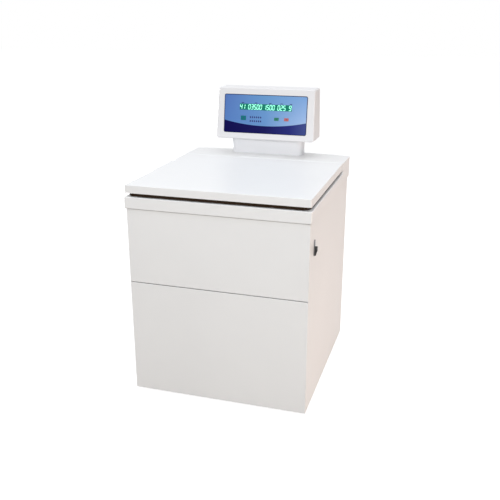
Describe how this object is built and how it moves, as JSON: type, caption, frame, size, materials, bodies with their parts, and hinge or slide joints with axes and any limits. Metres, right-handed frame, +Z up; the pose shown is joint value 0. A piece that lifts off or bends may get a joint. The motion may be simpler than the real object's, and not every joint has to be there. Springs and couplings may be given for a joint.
{
  "type": "laboratory centrifuge",
  "caption": "Floor-standing refrigerated laboratory centrifuge with a hinged lid over a swing-out rotor, painted cabinet and tilted control console.",
  "frame": {"origin": "on the floor, below the middle of the footprint", "axes": "+Z up, front of the cabinet towards -Y, +X to the right as seen from the front"},
  "size_m": [0.7183, 0.7999, 1.144],
  "materials": {
    "cabinet_white": "satin",
    "console_white": "satin",
    "frame_steel": "satin",
    "bright_steel": "satin",
    "lock_chrome": "polished",
    "rubber_black": "matte",
    "gasket_grey": "matte",
    "liner_dark": "matte",
    "foam_cream": "matte",
    "copper": "satin",
    "core_steel": "satin",
    "cast_aluminium": "satin",
    "black_enamel": "gloss",
    "black_plastic": "satin",
    "panel_print": "satin",
    "display_green": "gloss",
    "board_green": "satin",
    "key_green": "satin",
    "key_red": "satin"
  },
  "bodies": {
    "cabinet": {"base_tray": "frame_steel", "chassis_frame": "frame_steel", "levelling_feet": "rubber_black", "foot_nuts": "bright_steel", "shelf": "bright_steel", "front_lower_panel": "cabinet_white", "front_upper_panel": "cabinet_white", "left_side_panel": "cabinet_white", "right_side_panel": "cabinet_white", "rear_panel": "cabinet_white", "top_cover": "cabinet_white", "cover_screws": "bright_steel", "chamber_bowl": "bright_steel", "evaporator_jacket": "copper", "chamber_insulation": "foam_cream", "chamber_gasket": "gasket_grey", "shaft_seal": "rubber_black", "motor_housing": "frame_steel", "motor_stator": "copper", "motor_bearings": "bright_steel", "drive_mounts": "rubber_black", "compressor": "black_enamel", "compressor_feet": "rubber_black", "condenser": "cast_aluminium", "fan_shroud": "black_plastic", "fan_motor": "black_plastic", "refrigerant_pipes": "copper", "drive_inverter": "cast_aluminium", "mains_inlet": "black_plastic", "latch_housing": "frame_steel", "release_plate": "lock_chrome", "hinge_deck_leaf": "cabinet_white", "hinge_pin": "bright_steel", "console_neck": "console_white", "head_bezel": "console_white", "head_rear_cover": "console_white", "panel_overlay": "panel_print", "display_window": "display_green", "console_board": "board_green"},
    "lid": {"lid_cover": "cabinet_white", "lid_insulation": "foam_cream", "lid_liner": "liner_dark", "lid_screws": "bright_steel", "lid_striker": "bright_steel", "hinge_lid_leaf": "cabinet_white"},
    "rotor": {"drive_shaft": "bright_steel", "motor_armature": "core_steel", "rotor_yoke": "cast_aluminium", "bucket_pins": "bright_steel", "rotor_nut": "black_plastic"},
    "bucket_right": {"bucket_right": "cast_aluminium"},
    "bucket_rear": {"bucket_rear": "cast_aluminium"},
    "bucket_left": {"bucket_left": "cast_aluminium"},
    "bucket_front": {"bucket_front": "cast_aluminium"},
    "latch_claw": {"latch_claw": "bright_steel"},
    "condenser_fan": {"condenser_fan": "black_plastic"},
    "set_key": {"set_key": "key_green"},
    "start_key": {"start_key": "key_green"},
    "stop_key": {"stop_key": "key_red"},
    "release_lever": {"release_lever": "black_plastic"}
  },
  "joints": [
    {"name": "lid_hinge", "type": "hinge", "parent": "cabinet", "child": "lid", "pos_m": [0, 0.2139, 0.851], "axis": [-1, 0, 0], "range_deg": [0, 80]},
    {"name": "rotor_spin", "type": "hinge", "parent": "cabinet", "child": "rotor", "pos_m": [0, -0.072, 0.5], "axis": [0, 0, 1], "continuous": true},
    {"name": "bucket_right_swing", "type": "hinge", "parent": "rotor", "child": "bucket_right", "pos_m": [0.108, -0.072, 0.7], "axis": [0, -1, 0], "range_deg": [0, 90]},
    {"name": "bucket_rear_swing", "type": "hinge", "parent": "rotor", "child": "bucket_rear", "pos_m": [0, 0.036, 0.7], "axis": [1, 0, 0], "range_deg": [0, 90]},
    {"name": "bucket_left_swing", "type": "hinge", "parent": "rotor", "child": "bucket_left", "pos_m": [-0.108, -0.072, 0.7], "axis": [0, 1, 0], "range_deg": [0, 90]},
    {"name": "bucket_front_swing", "type": "hinge", "parent": "rotor", "child": "bucket_front", "pos_m": [0, -0.18, 0.7], "axis": [-1, 0, 0], "range_deg": [0, 90]},
    {"name": "latch_turn", "type": "hinge", "parent": "cabinet", "child": "latch_claw", "pos_m": [0.045, -0.364, 0.7813], "axis": [0, 0, -1], "range_deg": [0, 24]},
    {"name": "fan_spin", "type": "hinge", "parent": "cabinet", "child": "condenser_fan", "pos_m": [0.155, 0.2587, 0.21], "axis": [0, 1, 0], "continuous": true},
    {"name": "set_press", "type": "slide", "parent": "cabinet", "child": "set_key", "axis": [0, 0.9907, -0.1357], "range_m": [0, 0.0006], "stiffness_N_per_m": 800},
    {"name": "start_press", "type": "slide", "parent": "cabinet", "child": "start_key", "axis": [0, 0.9907, -0.1357], "range_m": [0, 0.0006], "stiffness_N_per_m": 800},
    {"name": "stop_press", "type": "slide", "parent": "cabinet", "child": "stop_key", "axis": [0, 0.9907, -0.1357], "range_m": [0, 0.0006], "stiffness_N_per_m": 800},
    {"name": "release_turn", "type": "hinge", "parent": "cabinet", "child": "release_lever", "pos_m": [0.35, -0.318, 0.655], "axis": [1, 0, 0], "range_deg": [0, 90]}
  ]
}
